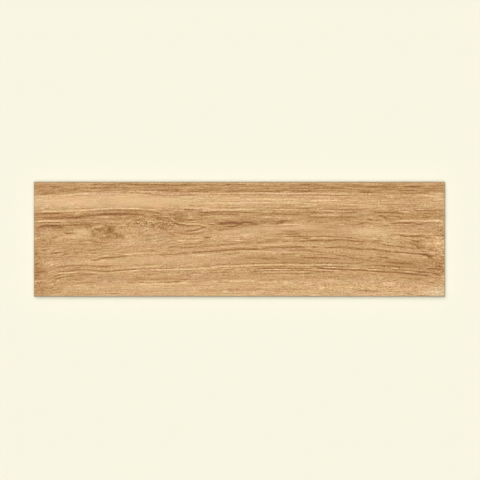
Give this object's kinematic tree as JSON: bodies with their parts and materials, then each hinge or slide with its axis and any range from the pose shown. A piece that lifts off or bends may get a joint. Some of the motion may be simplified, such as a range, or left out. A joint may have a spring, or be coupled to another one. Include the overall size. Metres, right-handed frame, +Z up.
{
  "type": "wood-look plank tile",
  "caption": "Flat rectangular porcelain plank tile with a wood-grain glazed face, slightly rounded edges and a keyed back for bonding to a floor or wall.",
  "frame": {"origin": "middle of the bed plane, which the keys of the back stand on", "axes": "+X along the plank, +Y across it, +Z up out of the glazed face"},
  "size_m": [0.625, 0.175, 0.009],
  "materials": {
    "glazed_porcelain": "satin"
  },
  "bodies": {
    "root": {"plank_tile": "glazed_porcelain"}
  },
  "joints": []
}
